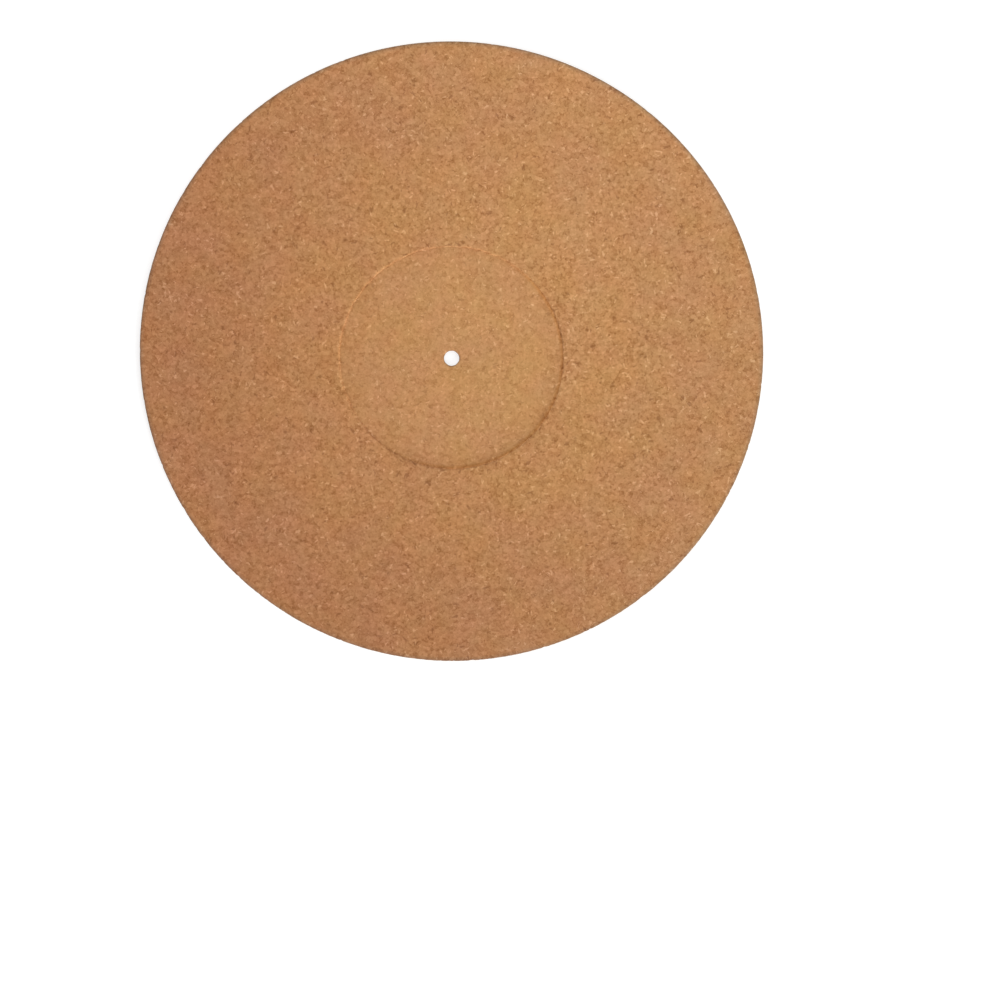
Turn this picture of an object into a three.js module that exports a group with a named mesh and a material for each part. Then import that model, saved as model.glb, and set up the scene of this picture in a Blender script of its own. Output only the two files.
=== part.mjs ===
// A cork mat for the platter of a record player, in millimetres, lying flat with +Z up.
// It is one disc of pressed cork granules, cut out with a die: a flat underside rests on the
// platter, the broad ring on top carries the playing area of a 12 inch record, and the shallow
// recess in the middle takes the record's thicker paper label. The platter's spindle comes up
// through the hole. The origin is the middle of the underside, on the spindle's axis.

import * as THREE from "three";

// The outline of the disc
const matDiameter = 300;
const matThickness = 3;
const rimTopRound = 0.5; // handled most, so it wears rounder than the bottom edge
const rimBottomRound = 0.3;

// The label recess, pressed into the top
const labelRecessDiameter = 108; // across its mouth, around a label of 100
const labelRecessDepth = 1;
const recessWallDraft = 12; // degrees that the wall leans away from upright
const recessMouthRound = 0.3;
const recessFloorFillet = 0.3;

// The hole for a spindle of 7.1
const spindleHoleDiameter = 7.2;
const holeEdgeRound = 0.25;

// How finely the round forms are cut into flats
const segmentsAround = 144; // a multiple of four, so that the disc measures its full width
const stepsPerRound = 3;

const corkTan = 0xb88358;

// Half the angle between two directions that leave a corner.
function halfAngleBetween(a, b) {
  return Math.acos(THREE.MathUtils.clamp(a.dot(b), -1, 1)) / 2;
}

// The points of the arc that rounds off one corner of a section, from the side towards the
// previous corner to the side towards the next. A short side keeps a flat between its rounds.
function roundedCorner(previous, corner, next, radius) {
  const mostOfASide = 0.45;
  const toPrevious = previous.clone().sub(corner);
  const toNext = next.clone().sub(corner);
  const shorterSide = Math.min(toPrevious.length(), toNext.length());
  toPrevious.normalize();
  toNext.normalize();

  const halfAngle = halfAngleBetween(toPrevious, toNext);
  const setback = Math.min(radius / Math.tan(halfAngle), mostOfASide * shorterSide);
  const bisector = toPrevious.clone().add(toNext).normalize();
  const centre = corner.clone().addScaledVector(bisector, setback / Math.cos(halfAngle));

  const arcStart = corner.clone().addScaledVector(toPrevious, setback).sub(centre);
  const arcEnd = corner.clone().addScaledVector(toNext, setback).sub(centre);
  const turn = Math.atan2(arcStart.cross(arcEnd), arcStart.dot(arcEnd));
  return Array.from({ length: stepsPerRound + 1 }, (_, step) =>
    arcStart
      .clone()
      .rotateAround(new THREE.Vector2(), (turn * step) / stepsPerRound)
      .add(centre),
  );
}

// Half of the mat's cross-section as a closed loop of points: x is the distance from the
// spindle's axis and y is the height. The corners run anticlockwise, so faces point out.
function matSection() {
  const rimRadius = matDiameter / 2;
  const holeRadius = spindleHoleDiameter / 2;
  const mouthRadius = labelRecessDiameter / 2;
  const floorHeight = matThickness - labelRecessDepth;
  const wallLean = labelRecessDepth * Math.tan(THREE.MathUtils.degToRad(recessWallDraft));

  const corners = [
    { at: new THREE.Vector2(holeRadius, 0), round: holeEdgeRound },
    { at: new THREE.Vector2(rimRadius, 0), round: rimBottomRound },
    { at: new THREE.Vector2(rimRadius, matThickness), round: rimTopRound },
    { at: new THREE.Vector2(mouthRadius, matThickness), round: recessMouthRound },
    { at: new THREE.Vector2(mouthRadius - wallLean, floorHeight), round: recessFloorFillet },
    { at: new THREE.Vector2(holeRadius, floorHeight), round: holeEdgeRound },
  ];

  const loop = corners.flatMap((corner, index) => {
    const previous = corners.at(index - 1).at;
    const next = corners[(index + 1) % corners.length].at;
    return roundedCorner(previous, corner.at, next, corner.round);
  });
  return [...loop, loop[0].clone()];
}

// The disc is the section turned once around the spindle's axis and stood with +Z up.
function platterMat() {
  const geometry = new THREE.LatheGeometry(matSection(), segmentsAround);
  geometry.rotateX(Math.PI / 2);
  const material = new THREE.MeshStandardMaterial({
    color: corkTan,
    roughness: 0.92,
    metalness: 0,
  });
  const mesh = new THREE.Mesh(geometry, material);
  mesh.name = "platter_mat";
  return mesh;
}

const part = new THREE.Group();
part.add(platterMat());

export default part;
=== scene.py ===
import itertools
import math

import bmesh
import bpy
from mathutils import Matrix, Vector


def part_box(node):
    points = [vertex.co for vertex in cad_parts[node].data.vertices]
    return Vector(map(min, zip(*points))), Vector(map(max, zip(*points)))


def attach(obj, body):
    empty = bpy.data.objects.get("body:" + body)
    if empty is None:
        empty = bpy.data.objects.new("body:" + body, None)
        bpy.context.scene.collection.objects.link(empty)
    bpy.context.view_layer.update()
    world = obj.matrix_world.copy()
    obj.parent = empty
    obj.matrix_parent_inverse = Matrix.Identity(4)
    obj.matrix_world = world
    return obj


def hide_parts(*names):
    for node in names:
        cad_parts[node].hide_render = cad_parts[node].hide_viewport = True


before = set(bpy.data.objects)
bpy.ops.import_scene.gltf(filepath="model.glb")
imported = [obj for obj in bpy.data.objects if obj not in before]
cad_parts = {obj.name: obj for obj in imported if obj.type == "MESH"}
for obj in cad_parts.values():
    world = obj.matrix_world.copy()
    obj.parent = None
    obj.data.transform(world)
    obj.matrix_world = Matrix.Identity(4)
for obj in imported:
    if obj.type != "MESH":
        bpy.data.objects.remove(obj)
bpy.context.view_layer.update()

# Shapes are in metres, like the frame, and the patterns in the cork in millimetres.
mm = 0.001

matLow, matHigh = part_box("platter_mat")


# The view: the mat seen from nearly straight above, its upper edge a little nearer
camera = {
    "place": (23.3 * mm, 147.85 * mm, 1150.1 * mm),
    "tilt": math.radians(-10.71),
    "lens": 86.43,
    "sensor": 36.0,
    "nearest": 0.01,
    "farthest": 50.0,
}


def setCamera():
    bpy.ops.object.camera_add(location=camera["place"], rotation=(camera["tilt"], 0, 0))
    eye = bpy.context.object
    eye.name = "matCamera"
    eye.data.lens = camera["lens"]
    eye.data.sensor_width = camera["sensor"]
    eye.data.clip_start = camera["nearest"]
    eye.data.clip_end = camera["farthest"]
    bpy.context.scene.camera = eye


# The mat's section. The outside comes from the frame, the rest is as drawn in the CAD.
mat = {
    "radius": matHigh.x,
    "top": matHigh.z,
    "underside": matLow.z,
    "floor": matHigh.z - 1.0 * mm,  # the label recess
    "recessRadius": 54.0 * mm,
    "recessLean": math.radians(12),
    "holeRadius": 3.6 * mm,
    "rimRound": 0.5 * mm,
    "rimFootRound": 0.3 * mm,
    "recessRound": 0.3 * mm,  # at the mouth and at the foot of the wall
    "holeRound": 0.25 * mm,
}
wallFoot = mat["recessRadius"] - (mat["top"] - mat["floor"]) * math.tan(mat["recessLean"])

# How fine the mesh is
mesh = {
    "cell": 1.12 * mm,  # about one cork granule
    "cellBelow": 2.8 * mm,
    "longest": 1.4,  # a cell may be this much longer around than across
    "fewestPoints": 96,  # around the hole
    "wallPoints": 768,
    "rimPoints": 1536,
    "band": 1.0 * mm,  # closely divided on each side of an edge
    "edgeCuts": 3,  # down the rim and the hole
    "roundSteps": 3,
    "sameRing": 0.01 * mm,
    "samePoint": 0.001 * mm,
}


def deselectAll():
    if bpy.context.mode != "OBJECT":
        bpy.ops.object.mode_set(mode="OBJECT")
    bpy.ops.object.select_all(action="DESELECT")


# Rings a cell apart across a flat face: radius, height, points and cuts on the way to it.
# The number of points doubles where the cells would get too wide.
def flatRings(start, end, height, cell):
    def points(radius):
        cellsAround = 2 * math.pi * radius / (mesh["longest"] * cell)
        doublings = math.ceil(math.log2(cellsAround / mesh["fewestPoints"]))
        return mesh["fewestPoints"] * 2 ** max(0, doublings)

    steps = round(abs(end - start) / cell)
    radii = [start + (end - start) * step / steps for step in range(steps + 1)]
    rings = []
    for count, run in itertools.groupby(radii, key=points):
        run = list(run)
        rings.append((run[0], height, count, 0))
        if len(run) > 1:
            rings.append((run[-1], height, count, len(run) - 2))
    return rings


# The rings of the whole section, from the hole over the top and the rim and back below
def sectionRings():
    top, floor, underside = mat["top"], mat["floor"], mat["underside"]
    recess, outside, hole = mat["recessRadius"], mat["radius"], mat["holeRadius"]
    wall, rim, band = mesh["wallPoints"], mesh["rimPoints"], mesh["band"]
    return [
        *flatRings(hole, wallFoot - 2 * band, floor, mesh["cell"]),
        (wallFoot - band, floor, wall, 0),
        (wallFoot, floor, wall, 0),
        (recess, top, wall, 0),
        (recess + band, top, wall, 0),
        *flatRings(recess + 2 * band, outside - 2 * band, top, mesh["cell"]),
        (outside - band, top, rim, 0),
        (outside, top, rim, 0),
        (outside, underside, rim, mesh["edgeCuts"]),
        (outside - band, underside, rim, 0),
        *flatRings(outside - 2 * band, hole, underside, mesh["cellBelow"]),
    ]


# One band of the section: two rings of points, bridged
def bridgeBand(first, second):
    deselectAll()
    radius, height, count, _ = first
    bpy.ops.mesh.primitive_circle_add(vertices=count, radius=radius)
    band = bpy.context.object
    bpy.ops.object.mode_set(mode="EDIT")
    bpy.ops.transform.translate(value=(0, 0, height))
    radius, height, count, cuts = second
    bpy.ops.mesh.primitive_circle_add(vertices=count, radius=radius, location=(0, 0, height))
    bpy.ops.mesh.select_all(action="SELECT")
    bpy.ops.mesh.bridge_edge_loops(number_cuts=cuts, interpolation="LINEAR")
    bpy.ops.object.mode_set(mode="OBJECT")
    return band


# The disc is lofted band by band around its section and closed at the hole.
def loftMat():
    rings = sectionRings()
    closing = (*rings[0][:3], mesh["edgeCuts"])
    bands = [bridgeBand(*pair) for pair in zip(rings, rings[1:] + [closing])]
    for band in bands:
        band.select_set(True)
    piece = bands[0]
    bpy.context.view_layer.objects.active = piece
    bpy.ops.object.join()
    piece.name = piece.data.name = "corkMat"
    bpy.ops.object.mode_set(mode="EDIT")
    bpy.ops.mesh.select_all(action="SELECT")
    bpy.ops.mesh.remove_doubles(threshold=mesh["samePoint"])
    bpy.ops.mesh.normals_make_consistent(inside=False)
    return piece


# Selects the edges that lie on one ring, while in edit mode
def selectRing(piece, radius, height):
    near = mesh["sameRing"]
    bpy.ops.mesh.select_mode(type="EDGE")
    bpy.ops.mesh.select_all(action="DESELECT")
    net = bmesh.from_edit_mesh(piece.data)
    ring = {
        v for v in net.verts
        if abs(v.co.z - height) < near and abs(math.hypot(v.co.x, v.co.y) - radius) < near
    }
    for e in net.edges:
        if ring.issuperset(e.verts):
            e.select_set(True)
    bmesh.update_edit_mesh(piece.data)


# Rounds off the corner rings, then leaves edit mode. The wall of the recess meets the flats at
# a blunt angle, so the bevel there is narrower than its radius.
def roundCorners(piece):
    bluntBevel = mat["recessRound"] * math.tan(math.pi / 4 - mat["recessLean"] / 2)
    corners = [
        (mat["holeRadius"], mat["floor"], mat["holeRound"]),
        (wallFoot, mat["floor"], bluntBevel),
        (mat["recessRadius"], mat["top"], bluntBevel),
        (mat["radius"], mat["top"], mat["rimRound"]),
        (mat["radius"], mat["underside"], mat["rimFootRound"]),
        (mat["holeRadius"], mat["underside"], mat["holeRound"]),
    ]
    for radius, height, width in corners:
        selectRing(piece, radius, height)
        bpy.ops.mesh.bevel(offset=width, segments=mesh["roundSteps"], profile=0.5, affect="EDGES")
    bpy.ops.object.mode_set(mode="OBJECT")


# The relief of pressed and sanded cork, always cut inwards
relief = {
    "stray": 0.55 * mm,  # sideways, so that the flats show no rings
    "strayWaves": (0.9 * mm, 1.1 * mm),  # along X and along Y
    "wallStray": 0.9 * mm,
    "wallWaves": (2.2 * mm, 2.64 * mm),
    "granule": 1.9 * mm,
    "granuleDepth": 0.05 * mm,
    "pitSpacing": 3.2 * mm,
    "pitDepth": 0.16 * mm,
    "pitCut": (0.24, 0.36),  # clouds below the first are a pit, above the second flat
    "chipSize": 1.6 * mm,
    "chipDepth": 0.35 * mm,
    "chipCut": (0.3, 0.62),
    "edgeReach": 0.8 * mm,  # how far in the edges are chipped
}


# Weights for the relief: edges crumble, flats have their points strayed off the rings, and the
# wall of the recess wanders
def weighPoints(piece):
    edges = piece.vertex_groups.new(name="edges")
    flats = piece.vertex_groups.new(name="flats")
    wall = piece.vertex_groups.new(name="wall")
    corners = [
        (mat["holeRadius"], mat["floor"]),
        (mat["recessRadius"], mat["top"]),
        (mat["radius"], mat["top"]),
        (mat["radius"], mat["underside"]),
        (mat["holeRadius"], mat["underside"]),
    ]
    steps = [mat["holeRadius"], wallFoot, mat["recessRadius"], mat["radius"]]
    reach, band = relief["edgeReach"], mesh["band"]
    for v in piece.data.vertices:
        radius = math.hypot(v.co.x, v.co.y)
        toCorner = min(math.hypot(radius - r, v.co.z - z) for r, z in corners)
        if toCorner < reach:
            edges.add([v.index], 1 - toCorner / reach, "REPLACE")
        toStep = min(abs(radius - r) for r in steps)
        if toStep > 2 * band:
            flats.add([v.index], 1.0, "REPLACE")
        toWall = max(wallFoot - radius, radius - mat["recessRadius"], 0)
        if toWall < band and v.co.z > mat["floor"] / 2:
            wall.add([v.index], 1 - toWall / band, "REPLACE")


def displace(piece, name, texture, strength, level, direction="NORMAL", group=""):
    push = piece.modifiers.new(name, "DISPLACE")
    push.texture = texture
    push.texture_coords = "LOCAL"
    push.direction = direction
    push.strength = strength
    push.mid_level = level
    push.vertex_group = group
    bpy.ops.object.modifier_apply(modifier=name)


def rampTexture(texture, low, high):
    # 0 under low and 1 over high
    texture.use_color_ramp = True
    stops = texture.color_ramp.elements
    stops[0].position, stops[0].color = low, (0, 0, 0, 1)
    stops[1].position, stops[1].color = high, (1, 1, 1, 1)


# Moves the points of a group sideways, with a wave of its own in each direction
def strayPoints(piece, group, basis, strength, waves):
    clouds = bpy.data.textures.new(group + "Stray", "CLOUDS")
    clouds.noise_basis = basis
    for direction, wave in zip("XY", waves):
        clouds.noise_scale = wave
        displace(piece, group + direction, clouds, strength, 0.5, direction, group)


def cutRelief(piece):
    strayPoints(piece, "flats", "ORIGINAL_PERLIN", relief["stray"], relief["strayWaves"])
    strayPoints(piece, "wall", "BLENDER_ORIGINAL", relief["wallStray"], relief["wallWaves"])

    granules = bpy.data.textures.new("granules", "VORONOI")
    granules.noise_scale = relief["granule"]
    granules.weight_1, granules.weight_2 = -1, 1
    displace(piece, "granules", granules, relief["granuleDepth"], 1)

    pits = bpy.data.textures.new("pits", "CLOUDS")
    pits.noise_scale = relief["pitSpacing"]
    pits.noise_depth = 1
    rampTexture(pits, *relief["pitCut"])
    displace(piece, "pits", pits, relief["pitDepth"], 1)

    chips = bpy.data.textures.new("chips", "CLOUDS")
    chips.noise_scale = relief["chipSize"]
    chips.noise_depth = 2
    rampTexture(chips, *relief["chipCut"])
    displace(piece, "chips", chips, relief["chipDepth"], 1, "NORMAL", "edges")


def makeMat():
    piece = loftMat()
    roundCorners(piece)
    weighPoints(piece)
    cutRelief(piece)
    bpy.ops.object.shade_smooth()
    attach(piece, "root")
    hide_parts("platter_mat")
    return piece


# Adds a node with its settings, then joins the given inputs: a socket is linked, a value is set
def addNode(tree, kind, settings=None, **inputs):
    node = tree.nodes.new(kind)
    for name, value in (settings or {}).items():
        setattr(node, name, value)
    for name, value in inputs.items():
        join(tree, node, name.replace("_", " "), value)
    return node


def join(tree, node, name, value):
    socket = node.inputs[int(name)] if name.isdigit() else node.inputs[name]
    if isinstance(value, bpy.types.NodeSocket):
        tree.links.new(value, socket)
    else:
        socket.default_value = value


def colour(red, green, blue):
    # a colour given as it looks on the screen, 0 to 255, in Blender's own numbers
    def linear(c):
        c /= 255
        return c / 12.92 if c <= 0.04045 else ((c + 0.055) / 1.055) ** 2.4
    return (linear(red), linear(green), linear(blue), 1)


def calc(tree, operation, first, second=0.0):
    settings = {"operation": operation}
    return addNode(tree, "ShaderNodeMath", settings, **{"0": first, "1": second}).outputs[0]


def vectorCalc(tree, operation, first, name, second):
    settings = {"operation": operation}
    return addNode(tree, "ShaderNodeVectorMath", settings, **{"0": first, name: second}).outputs[0]


def mapRange(tree, value, low, high, toLow=0.0, toHigh=1.0):
    settings = {"interpolation_type": "SMOOTHSTEP"}
    ends = {"From Min": low, "From Max": high, "To Min": toLow, "To Max": toHigh}
    return addNode(tree, "ShaderNodeMapRange", settings, Value=value, **ends).outputs["Result"]


def blendColours(tree, mode, amount, first, second):
    settings = {"data_type": "RGBA", "blend_type": mode}
    sockets = {"0": amount, "6": first, "7": second}
    return addNode(tree, "ShaderNodeMix", settings, **sockets).outputs[2]


def ramp(tree, value, stops):
    node = addNode(tree, "ShaderNodeValToRGB", Fac=value)
    elements = node.color_ramp.elements
    while len(elements) < len(stops):
        elements.new(0.5)
    for element, (position, shade) in zip(elements, stops):
        element.position = position
        element.color = shade
    return node.outputs["Color"]


def newGroup(name, inputs, outputs):
    group = bpy.data.node_groups.new(name, "ShaderNodeTree")
    for socket, kind in inputs:
        group.interface.new_socket(name=socket, in_out="INPUT", socket_type=kind)
    for socket, kind in outputs:
        group.interface.new_socket(name=socket, in_out="OUTPUT", socket_type=kind)
    return group, group.nodes.new("NodeGroupInput"), group.nodes.new("NodeGroupOutput")


def placeGroup(tree, group, **inputs):
    return addNode(tree, "ShaderNodeGroup", {"node_tree": group}, **inputs)


# How the granules are outlined
granuleLook = {
    "warp": 0.8,  # the noise that bends the outlines
    "warpDetail": 2.0,
    "seam": 0.14,  # as a share of the size
}


# Granules of one size, packed edge to edge: a random tone for each, and the seams between them
def granuleGroup():
    group, given, made = newGroup(
        "corkGranules",
        [("Place", "NodeSocketVector"), ("Size", "NodeSocketFloat"), ("Stray", "NodeSocketFloat")],
        [("Tone", "NodeSocketFloat"), ("Seam", "NodeSocketFloat")],
    )
    noise = addNode(
        group, "ShaderNodeTexNoise", Vector=given.outputs["Place"],
        Scale=granuleLook["warp"], Detail=granuleLook["warpDetail"],
    )
    centred = vectorCalc(group, "SUBTRACT", noise.outputs["Color"], "1", (0.5, 0.5, 0.5))
    strayed = vectorCalc(group, "SCALE", centred, "Scale", given.outputs["Stray"])
    place = vectorCalc(group, "ADD", given.outputs["Place"], "1", strayed)
    scale = calc(group, "DIVIDE", 1.0, given.outputs["Size"])
    cells = addNode(group, "ShaderNodeTexVoronoi", Vector=place, Scale=scale)
    split = addNode(group, "ShaderNodeSeparateColor", Color=cells.outputs["Color"])
    border = addNode(
        group, "ShaderNodeTexVoronoi", {"feature": "DISTANCE_TO_EDGE"}, Vector=place, Scale=scale,
    )
    seam = mapRange(group, border.outputs["Distance"], 0.0, granuleLook["seam"], 1.0, 0.0)
    join(group, made, "Tone", split.outputs[0])
    join(group, made, "Seam", seam)
    return group


# How the flecks are outlined
fleckLook = {
    "warp": 0.9,  # the noise that frays the outlines
    "warpDetail": 3.0,
    "frayed": 3.0,  # how far it pulls them
    "solid": 0.45,  # the share of a fleck that covers fully
}


# Scattered flecks, one in a share of the cells, with ragged outlines
def fleckGroup():
    group, given, made = newGroup(
        "corkFlecks",
        [
            ("Place", "NodeSocketVector"), ("Spacing", "NodeSocketFloat"),
            ("Reach", "NodeSocketFloat"), ("Share", "NodeSocketFloat"),
        ],
        [("Mask", "NodeSocketFloat")],
    )
    noise = addNode(
        group, "ShaderNodeTexNoise", Vector=given.outputs["Place"],
        Scale=fleckLook["warp"], Detail=fleckLook["warpDetail"],
    )
    ragged = vectorCalc(group, "SCALE", noise.outputs["Color"], "Scale", fleckLook["frayed"])
    place = vectorCalc(group, "ADD", given.outputs["Place"], "1", ragged)
    scale = calc(group, "DIVIDE", 1.0, given.outputs["Spacing"])
    cells = addNode(group, "ShaderNodeTexVoronoi", Vector=place, Scale=scale)
    split = addNode(group, "ShaderNodeSeparateColor", Color=cells.outputs["Color"])
    picked = calc(group, "LESS_THAN", split.outputs[0], given.outputs["Share"])
    size = calc(group, "MULTIPLY", split.outputs[1], given.outputs["Reach"])
    inner = calc(group, "MULTIPLY", size, fleckLook["solid"])
    spot = mapRange(group, cells.outputs["Distance"], inner, size, 1.0, 0.0)
    join(group, made, "Mask", calc(group, "MULTIPLY", picked, spot))
    return group


# Flakes pressed flat in the sheet: bark and pale cork, lying in several directions
flakes = {
    "bark": {
        "shade": colour(128, 78, 42), "strength": 0.6, "spacing": 2.2, "reach": 0.44,
        "share": 0.15, "stretch": 2.0, "turns": (12, 74, 133), "inRecess": 0.6, "start": 0.0,
    },
    "pale": {
        "shade": colour(224, 174, 128), "strength": 0.6, "spacing": 1.9, "reach": 0.41,
        "share": 0.25, "stretch": 1.9, "turns": (38, 101, 166), "inRecess": 0.75, "start": 200.0,
    },
}
layerShift = (37.0, 11.0, 5.0)  # mm from one layer of flakes to the next, so that none repeats


# One shade of flakes over the cork, a layer for each direction that they lie in
def layFlakes(tree, group, place, shade, pressed, flake):
    faint = flake["strength"] * flake["inRecess"]
    strength = mapRange(tree, pressed, 0.0, 1.0, flake["strength"], faint)
    for layer, turn in enumerate(flake["turns"]):
        across, along, deep = (layer * shift for shift in layerShift)
        lying = addNode(
            tree, "ShaderNodeMapping", {"vector_type": "TEXTURE"}, Vector=place,
            Location=(flake["start"] + across, along, deep),
            Rotation=(0, 0, math.radians(turn)), Scale=(flake["stretch"], 1, 1),
        )
        mask = placeGroup(
            tree, group, Place=lying.outputs[0], Spacing=flake["spacing"],
            Reach=flake["reach"], Share=flake["share"],
        )
        amount = calc(tree, "MULTIPLY", mask.outputs[0], strength)
        shade = blendColours(tree, "MIX", amount, shade, flake["shade"])
    return shade


# The cork itself, granule sizes in mm
cork = {
    "tones": [
        (0.00, colour(146, 95, 53)),
        (0.20, colour(168, 116, 72)),
        (0.42, colour(181, 129, 84)),
        (0.62, colour(188, 136, 90)),
        (0.84, colour(200, 147, 101)),
        (1.00, colour(214, 162, 115)),
    ],
    "coarse": 1.7,
    "fine": 0.9,
    "coarseStray": 1.2,
    "fineStray": 0.8,
    "dustScale": 1.6,
    "dustDetail": 4.0,
    "coarseShare": 0.4,  # what a point's tone is made of
    "fineShare": 0.35,
    "dustShare": 0.2,
    "seamShade": 0.16,
    "middleTone": 0.5,  # unchanged where the granules differ less
    "roughness": (0.96, 0.84),  # of the darkest and the palest granules
    "specular": 0.3,
    "crumbHeight": 0.5,
    "bump": 0.5,
    "bumpDepth": 0.06 * mm,
}

# The recess is pressed smoother, so its granules differ less. It is also lighter towards its
# middle.
# Distances in mm are from its radius. From here on a colour multiplies the shade under it.
recessLook = {
    "edge": (-1.2, -0.2),
    "evened": 0.2,  # how much less the granules differ
    # lightens the recess, most towards its middle
    "pressed": (1.065, 1.11, 1.13, 1),
    "middle": (-28.0, -2.0),  # from the palest part out to the wall
    "nearWall": 0.45,  # the share of the paler shade that is left there
}


# How far a point lies from the spindle's axis
def fromAxis(tree, place):
    apart = addNode(tree, "ShaderNodeSeparateXYZ", Vector=place)
    across = calc(tree, "POWER", apart.outputs[0], 2.0)
    along = calc(tree, "POWER", apart.outputs[1], 2.0)
    return calc(tree, "SQRT", calc(tree, "ADD", across, along))


# How far a point lies along a direction in the plane of the mat, and across it
def sides(tree, place, degrees):
    turn = (0, 0, math.radians(degrees))
    turned = addNode(tree, "ShaderNodeMapping", Vector=place, Rotation=turn)
    apart = addNode(tree, "ShaderNodeSeparateXYZ", Vector=turned.outputs[0])
    return apart.outputs[0], apart.outputs[1]


# A ring around the axis, from four distances as in stepMarks
def bandMask(tree, radius, middle, band):
    begins, full, fades, gone = (middle + distance for distance in band)
    rise = mapRange(tree, radius, begins, full)
    fall = mapRange(tree, radius, fades, gone, 1.0, 0.0)
    return calc(tree, "MULTIPLY", rise, fall)


# The tone of a point: its granule, the finer crumbs that fill in, and dust
def mixTone(tree, coarse, fine, dust, pressed):
    tone = calc(tree, "MULTIPLY", coarse.outputs["Tone"], cork["coarseShare"])
    crumbs = calc(tree, "MULTIPLY", fine.outputs["Tone"], cork["fineShare"])
    tone = calc(tree, "ADD", tone, crumbs)
    specks = calc(tree, "MULTIPLY", dust.outputs["Fac"], cork["dustShare"])
    tone = calc(tree, "ADD", tone, specks)
    seams = calc(tree, "MULTIPLY", coarse.outputs["Seam"], cork["seamShade"])
    tone = calc(tree, "SUBTRACT", tone, seams)
    evened = calc(tree, "MULTIPLY", pressed, recessLook["evened"])
    contrast = calc(tree, "SUBTRACT", 1.0, evened)
    tone = calc(tree, "MULTIPLY", calc(tree, "SUBTRACT", tone, cork["middleTone"]), contrast)
    return calc(tree, "ADD", tone, cork["middleTone"])


# Slow drifts between redder and yellower cork
drifts = [
    {
        "size": 11, "detail": 2.0,
        "casts": [(0.36, (1.02, 0.984, 0.988, 1)), (0.64, (0.989, 1.009, 1.003, 1))],
    },
    {
        "size": 24, "detail": 1.0,
        "casts": [(0.35, (0.995, 0.995, 1.05, 1)), (0.65, (1.003, 1.003, 0.94, 1))],
    },
]

# Over the whole sheet from one end to the other: a redder and a yellower cast of the cork, with
# painted light, darker at the red end and lighter at the yellow end. The ring is lighter at its
# inside and darker towards the rim.
sheetCast = {
    "turn": -22,  # degrees
    "redShadedSide": (0.932, 0.878, 0.890, 1),
    "yellowLitSide": (1.072, 1.132, 1.115, 1),
    "fade": (66.0, 128.0),  # from the inner cast to the outer one
    "inner": (1.04, 1.047, 1.0, 1),
    "outer": (0.974, 0.956, 0.970, 1),
}


def castSheet(tree, shade, place):
    for drift in drifts:
        noise = addNode(
            tree, "ShaderNodeTexNoise", Vector=place,
            Scale=1 / drift["size"], Detail=drift["detail"],
        )
        cast = ramp(tree, noise.outputs["Fac"], drift["casts"])
        shade = blendColours(tree, "MULTIPLY", 1.0, shade, cast)
    rim = mat["radius"] / mm
    # painted light: the sheet darker and redder at one end, lighter and yellower at the other
    along, _ = sides(tree, place, sheetCast["turn"])
    endToEnd = mapRange(tree, along, -rim, rim)
    cast = ramp(tree, endToEnd, [(0.0, sheetCast["redShadedSide"]), (1.0, sheetCast["yellowLitSide"])])
    return blendColours(tree, "MULTIPLY", 1.0, shade, cast)


# Marks along the step of the recess: painted shadow, painted light, patches on the wall, and a
# rubbed mouth with a painted highlight. A band is four distances from its radius: where the mark
# begins, is full, fades and is gone.
stepMarks = {
    "turn": 30,  # degrees, towards the side of the painted shadow
    "shadedSide": (-12.0, 27.0),  # from unshaded to shaded, in that direction
    "liftedSide": (43.0, 52.0),  # at right angles to it, where painted light lifts the shade
    "creaseShadowBand": (-2.2, -0.9, -0.3, -0.05),
    "creaseShadow": (1.01, 0.93, 0.77, 1),  # painted brown shadow at the foot of the wall
    "shadowLiftBand": (-1.5, -0.7, 0.1, 0.4),
    "shadowLift": (1.09, 1.10, 1.12, 1),  # painted light over the shade of the step
    "wallBand": (-0.4, -0.2, 0.15, 0.4),
    "patchSize": 3.0,
    "patchDetail": 2.0,
    "patches": [(0.42, (0.92, 0.90, 0.89, 1)), (0.6, (1.10, 1.14, 1.17, 1))],  # stained to torn
    "mouthBand": (0.1, 0.4, 0.5, 1.6),
    "mouth": (1.075, 1.11, 1.13, 1),  # rubbed paler, and a painted highlight along the edge of the recess
    "rubbedAndLit": (0.45, 0.6),  # the patches that are rubbed and carry the painted highlight
    "leastRubbedAndLit": 0.1,
}


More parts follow.
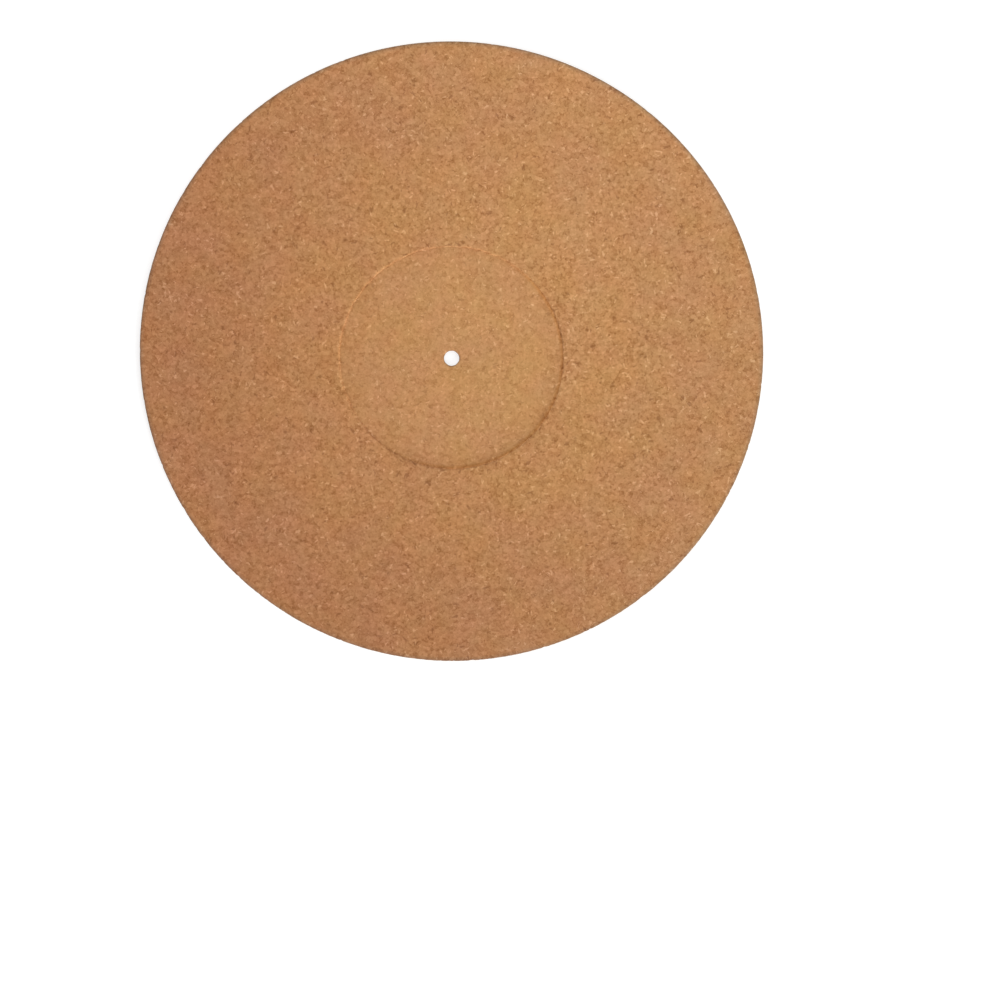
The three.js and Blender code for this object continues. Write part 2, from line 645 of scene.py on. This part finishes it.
def markStep(tree, shade, place, radius):
    recess = mat["recessRadius"] / mm
    along, across = sides(tree, place, stepMarks["turn"])

    # painted shadow: brown shade on the floor at the foot of the wall, on the side facing the key
    # lamp
    creaseShadow = bandMask(tree, radius, recess, stepMarks["creaseShadowBand"])
    creaseShadow = calc(tree, "MULTIPLY", creaseShadow, mapRange(tree, along, *stepMarks["shadedSide"]))
    shade = blendColours(tree, "MULTIPLY", creaseShadow, shade, stepMarks["creaseShadow"])

    # painted light that lifts the shade of the step on the side at right angles to the painted
    # shadow
    shadowLift = bandMask(tree, radius, recess, stepMarks["shadowLiftBand"])
    shadowLift = calc(tree, "MULTIPLY", shadowLift, mapRange(tree, across, *stepMarks["liftedSide"]))
    shade = blendColours(tree, "MULTIPLY", shadowLift, shade, stepMarks["shadowLift"])

    patchy = addNode(
        tree, "ShaderNodeTexNoise", Vector=place,
        Scale=1 / stepMarks["patchSize"], Detail=stepMarks["patchDetail"],
    ).outputs["Fac"]
    wall = bandMask(tree, radius, recess, stepMarks["wallBand"])
    patches = ramp(tree, patchy, stepMarks["patches"])
    shade = blendColours(tree, "MULTIPLY", wall, shade, patches)

    # the mouth rubbed paler, with a painted highlight in patches along the edge of the recess
    mouth = bandMask(tree, radius, recess, stepMarks["mouthBand"])
    rubbedAndLit = mapRange(tree, patchy, *stepMarks["rubbedAndLit"], stepMarks["leastRubbedAndLit"], 1.0)
    mouth = calc(tree, "MULTIPLY", mouth, rubbedAndLit)
    return blendColours(tree, "MULTIPLY", mouth, shade, stepMarks["mouth"])


# Cut edges, greyed by the die and by hands, with painted shade along the rim and the hole: two
# distances from the edge, and the strength there
greyedAndShadedEdges = {
    "shade": (0.40, 0.59, 0.91, 1),
    "rim": [(-2.6, -1.0, 0.25), (-1.2, -0.3, 0.30)],
    "hole": (0.1, 0.8, 0.45),
}


# Greys the cut edges and paints shade along the rim and the hole
def darkenEdges(tree, shade, radius):
    rim, hole = mat["radius"] / mm, mat["holeRadius"] / mm
    start, end, strength = greyedAndShadedEdges["hole"]
    edge = mapRange(tree, radius, hole + start, hole + end, strength, 0.0)
    for start, end, strength in greyedAndShadedEdges["rim"]:
        nearRim = mapRange(tree, radius, rim + start, rim + end, 0.0, strength)
        edge = calc(tree, "ADD", edge, nearRim)
    return blendColours(tree, "MULTIPLY", edge, shade, greyedAndShadedEdges["shade"])


def corkMaterial():
    material = bpy.data.materials.new("cork")
    material.use_nodes = True
    tree = material.node_tree
    tree.nodes.clear()
    granules, flecks = granuleGroup(), fleckGroup()

    where = addNode(tree, "ShaderNodeTexCoord").outputs["Object"]
    place = addNode(tree, "ShaderNodeMapping", Vector=where, Scale=(1 / mm,) * 3).outputs[0]
    radius = fromAxis(tree, place)
    recess = mat["recessRadius"] / mm
    start, end = recessLook["edge"]
    pressed = mapRange(tree, radius, recess + start, recess + end, 1.0, 0.0)

    coarse = placeGroup(
        tree, granules, Place=place, Size=cork["coarse"], Stray=cork["coarseStray"],
    )
    fine = placeGroup(tree, granules, Place=place, Size=cork["fine"], Stray=cork["fineStray"])
    dust = addNode(
        tree, "ShaderNodeTexNoise", Vector=place,
        Scale=cork["dustScale"], Detail=cork["dustDetail"],
    )
    shade = ramp(tree, mixTone(tree, coarse, fine, dust, pressed), cork["tones"])
    shade = layFlakes(tree, flecks, place, shade, pressed, flakes["bark"])
    shade = layFlakes(tree, flecks, place, shade, pressed, flakes["pale"])
    shade = castSheet(tree, shade, place)

    start, end = recessLook["middle"]
    middle = mapRange(tree, radius, recess + start, recess + end, 1.0, recessLook["nearWall"])
    lighter = calc(tree, "MULTIPLY", pressed, middle)
    shade = blendColours(tree, "MULTIPLY", lighter, shade, recessLook["pressed"])
    shade = markStep(tree, shade, place, radius)

    outwards = mapRange(tree, radius, *sheetCast["fade"])
    cast = ramp(tree, outwards, [(0.0, sheetCast["inner"]), (1.0, sheetCast["outer"])])
    shade = blendColours(tree, "MULTIPLY", 1.0, shade, cast)
    shade = darkenEdges(tree, shade, radius)

    # the fine crumbs stand up between their seams, with dust over all
    height = calc(tree, "MULTIPLY", fine.outputs["Tone"], cork["crumbHeight"])
    height = calc(tree, "SUBTRACT", height, fine.outputs["Seam"])
    height = calc(tree, "ADD", height, dust.outputs["Fac"])
    bump = addNode(
        tree, "ShaderNodeBump", Height=height, Strength=cork["bump"], Distance=cork["bumpDepth"],
    )

    matt = mapRange(tree, coarse.outputs["Tone"], 0.0, 1.0, *cork["roughness"])
    skin = addNode(
        tree, "ShaderNodeBsdfPrincipled", Base_Color=shade, Roughness=matt,
        Specular_IOR_Level=cork["specular"], Normal=bump.outputs[0],
    )
    addNode(tree, "ShaderNodeOutputMaterial", Surface=skin.outputs[0])
    return material


# Floor, world and lamps
studio = {
    "floorSize": 12.0,
    "floorShade": 0.5,
    "floorGlow": 0.66,  # seen by the camera and in reflections only
    "worldLight": 0.445,
}

lamps = {
    "key": {"place": (2.73, -3.90, 1.55), "size": 2.67, "power": 256.0},
    "fill": {"place": (0.28, 0.70, 0.44), "size": 0.5, "power": 3.0},
    "side": {"place": (-3.69, -0.39, 1.50), "size": 2.5, "power": 50.6},
}


# 1 for the rays that should see plain white: straight from the camera, or by a reflection
def seenRays(tree):
    path = tree.nodes.new("ShaderNodeLightPath")
    seen = calc(tree, "MAXIMUM", path.outputs["Is Camera Ray"], path.outputs["Is Glossy Ray"])
    return calc(tree, "MAXIMUM", seen, path.outputs["Is Transmission Ray"])


def makeFloor():
    deselectAll()
    bpy.ops.mesh.primitive_plane_add(size=studio["floorSize"], location=(0, 0, 0))
    floor = bpy.context.object
    floor.name = "studioFloor"
    material = bpy.data.materials.new("studioFloor")
    material.use_nodes = True
    tree = material.node_tree
    tree.nodes.clear()
    paint = addNode(tree, "ShaderNodeBsdfDiffuse", Color=(studio["floorShade"],) * 3 + (1,))
    light = calc(tree, "MULTIPLY", seenRays(tree), studio["floorGlow"])
    glow = addNode(tree, "ShaderNodeEmission", Color=(1, 1, 1, 1), Strength=light)
    both = addNode(tree, "ShaderNodeAddShader", **{"0": paint.outputs[0], "1": glow.outputs[0]})
    addNode(tree, "ShaderNodeOutputMaterial", Surface=both.outputs[0])
    floor.data.materials.append(material)


def setWorld():
    world = bpy.data.worlds.new("studio")
    bpy.context.scene.world = world
    world.use_nodes = True
    tree = world.node_tree
    background = tree.nodes["Background"]
    strength = mapRange(tree, seenRays(tree), 0.0, 1.0, studio["worldLight"], 1.0)
    tree.links.new(strength, background.inputs["Strength"])
    background.inputs["Color"].default_value = (1, 1, 1, 1)


def setLamps():
    for name, lamp in lamps.items():
        bpy.ops.object.light_add(type="AREA", location=lamp["place"])
        light = bpy.context.object
        light.name = name
        light.data.size = lamp["size"]
        light.data.energy = lamp["power"]
        towards = -light.location
        light.rotation_euler = towards.to_track_quat("-Z", "Y").to_euler()


setCamera()
print("camera set")
corkMat = makeMat()
triangles = sum(len(face.vertices) - 2 for face in corkMat.data.polygons)
print("mat lofted:", len(corkMat.data.vertices), "points,", triangles, "triangles")
corkMat.data.materials.append(corkMaterial())
print("cork laid")
makeFloor()
setWorld()
setLamps()
bpy.context.scene.view_settings.view_transform = "Standard"
print("studio lit")
